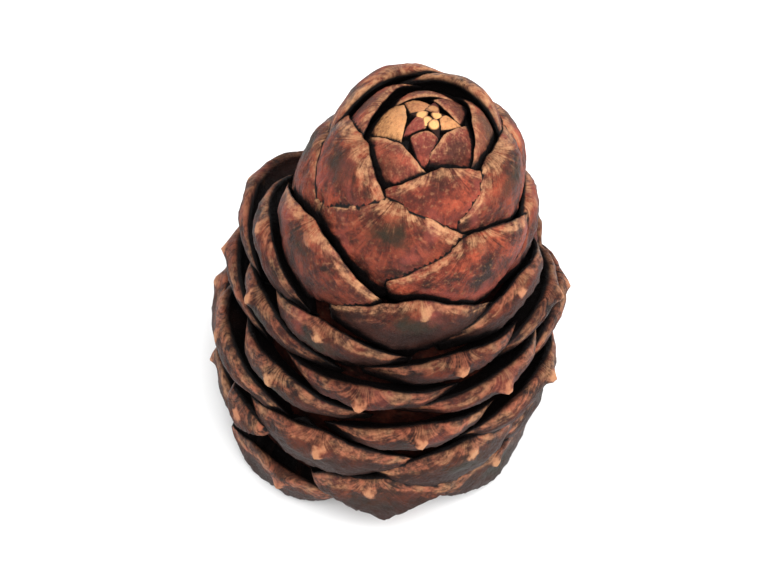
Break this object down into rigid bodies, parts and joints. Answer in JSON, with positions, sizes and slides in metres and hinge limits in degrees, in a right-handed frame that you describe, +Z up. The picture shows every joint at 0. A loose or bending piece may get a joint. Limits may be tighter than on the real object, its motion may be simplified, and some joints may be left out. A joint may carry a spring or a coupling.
{
  "type": "pine cone",
  "caption": "Closed egg-shaped woody cone of a stone pine with broad overlapping scales, standing on its base with its tip up.",
  "frame": {"origin": "on the ground, under the middle of the cone's bounding box", "axes": "+Z up, from the stalk scar to the tip; -Y towards the side the picture shows"},
  "size_m": [0.0592, 0.0578, 0.0799],
  "materials": {
    "cone_wood": "dry reddish-brown woody scales, matt with a faint waxy sheen, paler along the margins"
  },
  "bodies": {
    "root": {"cone": "cone_wood"}
  },
  "joints": []
}
